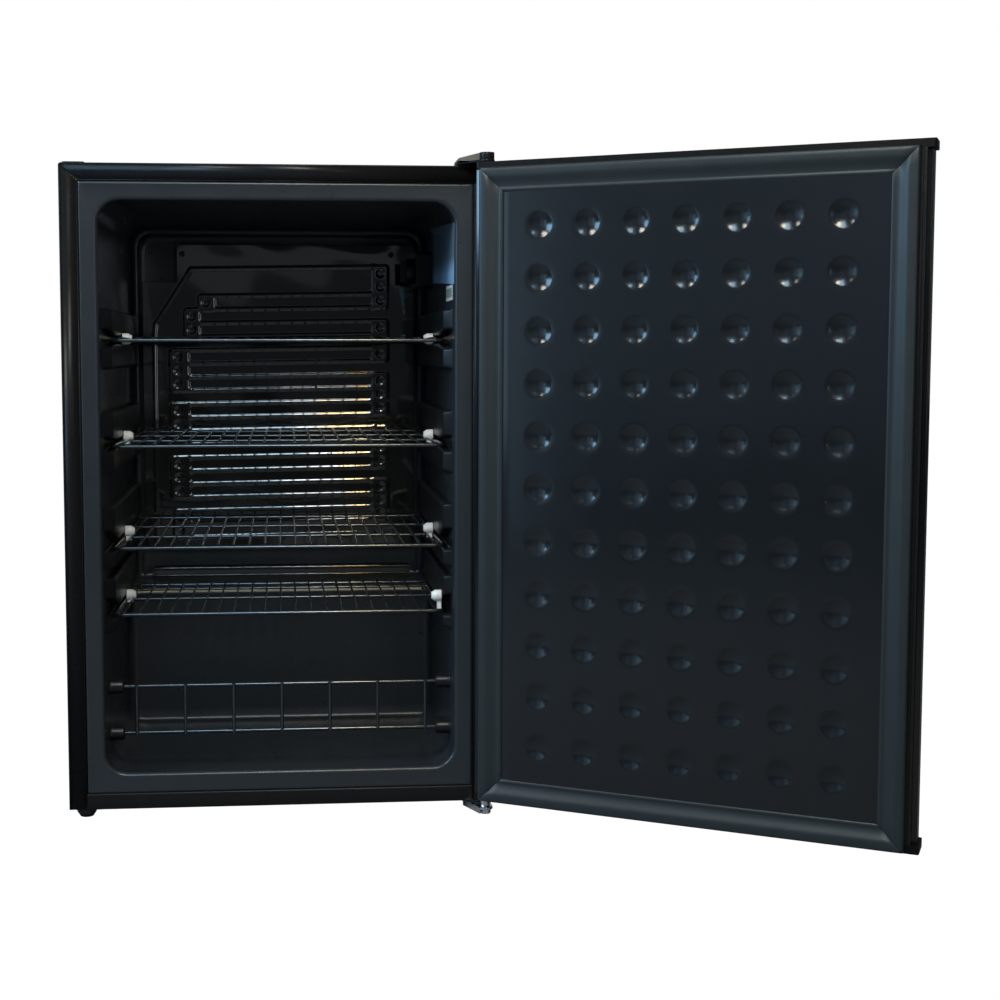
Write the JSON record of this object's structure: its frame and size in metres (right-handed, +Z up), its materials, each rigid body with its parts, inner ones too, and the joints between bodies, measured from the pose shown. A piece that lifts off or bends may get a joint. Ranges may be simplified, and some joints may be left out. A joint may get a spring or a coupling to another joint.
{
  "type": "compact upright refrigerator",
  "caption": "Compact black upright refrigerator cabinet with an open hinged door, magnetic gasket, sliding wire shelves, wall evaporator and rear compressor bay.",
  "frame": {"origin": "on the floor under the middle of the cabinet, which stands on its four feet", "axes": "+X to the viewer's right facing the open front, where the hinges are, +Y from the front towards the back panel, +Z up"},
  "size_m": [1.029, 0.8022, 0.8615],
  "materials": {
    "black_paint": "satin",
    "liner_plastic": "satin",
    "black_plastic": "satin",
    "white_plastic": "satin",
    "insulation": "matte",
    "coated_aluminium": "satin",
    "zinc_steel": "satin",
    "wire_coating": "gloss",
    "gasket_pvc": "satin",
    "magnet_strip": "matte",
    "black_rubber": "matte",
    "compressor_paint": "gloss",
    "cover_plastic": "matte",
    "copper": "satin",
    "label_blue": "matte",
    "label_white": "matte",
    "bearing_plastic": "satin"
  },
  "bodies": {
    "cabinet": {"outer_wrapper": "black_paint", "front_bottom_rail": "black_paint", "base_pan": "zinc_steel", "back_panel": "black_paint", "inner_liner": "liner_plastic", "cabinet_foam": "insulation", "condenser_coil": "copper", "evaporator_plate": "coated_aluminium", "evaporator_spacers": "white_plastic", "evaporator_screws": "zinc_steel", "drain_trough": "black_plastic", "drain_tube": "black_plastic", "thermostat_housing": "black_plastic", "rating_label": "label_blue", "small_label": "label_white", "bottle_guard": "wire_coating", "rear_feet": "black_plastic", "left_foot_plate": "black_paint", "base_screws": "zinc_steel", "top_hinge_shim": "black_plastic", "top_hinge_bracket": "black_paint", "top_hinge_pin": "black_paint", "top_hinge_cover": "cover_plastic", "top_hinge_screws": "zinc_steel", "lower_hinge_bracket": "zinc_steel", "lower_hinge_pin": "zinc_steel", "hinge_hole_plug": "black_plastic", "compressor": "compressor_paint", "compressor_grommets": "black_rubber", "compressor_bolts": "zinc_steel", "compressor_base_plate": "zinc_steel", "relay_cover": "black_plastic", "drip_tray": "black_plastic", "filter_dryer": "copper", "refrigerant_pipes": "copper", "cord_gland": "black_plastic"},
    "door": {"door_outer_skin": "black_paint", "door_top_cap": "black_plastic", "door_bottom_cap": "black_plastic", "door_liner": "liner_plastic", "door_foam": "insulation", "door_gasket": "gasket_pvc", "gasket_magnets": "magnet_strip", "door_bushings": "bearing_plastic", "door_grip_trim": "black_plastic"},
    "shelf_1": {"shelf_1": "wire_coating", "shelf_clips_1": "white_plastic"},
    "shelf_2": {"shelf_2": "wire_coating", "shelf_clips_2": "white_plastic"},
    "shelf_3": {"shelf_3": "wire_coating", "shelf_clips_3": "white_plastic"},
    "shelf_4": {"shelf_4": "wire_coating", "shelf_clips_4": "white_plastic"},
    "thermostat_knob": {"thermostat_knob": "liner_plastic"},
    "front_left_foot": {"front_left_foot": "black_plastic"},
    "front_right_foot": {"front_right_foot": "black_plastic"}
  },
  "joints": [
    {"name": "door_hinge", "type": "hinge", "parent": "cabinet", "child": "door", "pos_m": [0.2655, -0.2771, 0.429], "axis": [0, 0, 1], "range_deg": [-151.5, 8.5]},
    {"name": "shelf_1_slide", "type": "slide", "parent": "cabinet", "child": "shelf_1", "axis": [0, -1, 0], "range_m": [0, 0.3]},
    {"name": "shelf_2_slide", "type": "slide", "parent": "cabinet", "child": "shelf_2", "axis": [0, -1, 0], "range_m": [0, 0.3]},
    {"name": "shelf_3_slide", "type": "slide", "parent": "cabinet", "child": "shelf_3", "axis": [0, -1, 0], "range_m": [0, 0.3]},
    {"name": "shelf_4_slide", "type": "slide", "parent": "cabinet", "child": "shelf_4", "axis": [0, -1, 0], "range_m": [0, 0.2]},
    {"name": "thermostat_turn", "type": "hinge", "parent": "cabinet", "child": "thermostat_knob", "pos_m": [0.2, 0.128, 0.731], "axis": [-1, 0, 0], "range_deg": [0, 300]},
    {"name": "left_foot_screw", "type": "hinge", "parent": "cabinet", "child": "front_left_foot", "pos_m": [-0.2555, -0.228, 0.007], "axis": [0, 0, 1], "range_deg": [0, 1080]},
    {"name": "right_foot_screw", "type": "hinge", "parent": "cabinet", "child": "front_right_foot", "pos_m": [0.2555, -0.228, 0.007], "axis": [0, 0, 1], "range_deg": [0, 1080]}
  ]
}
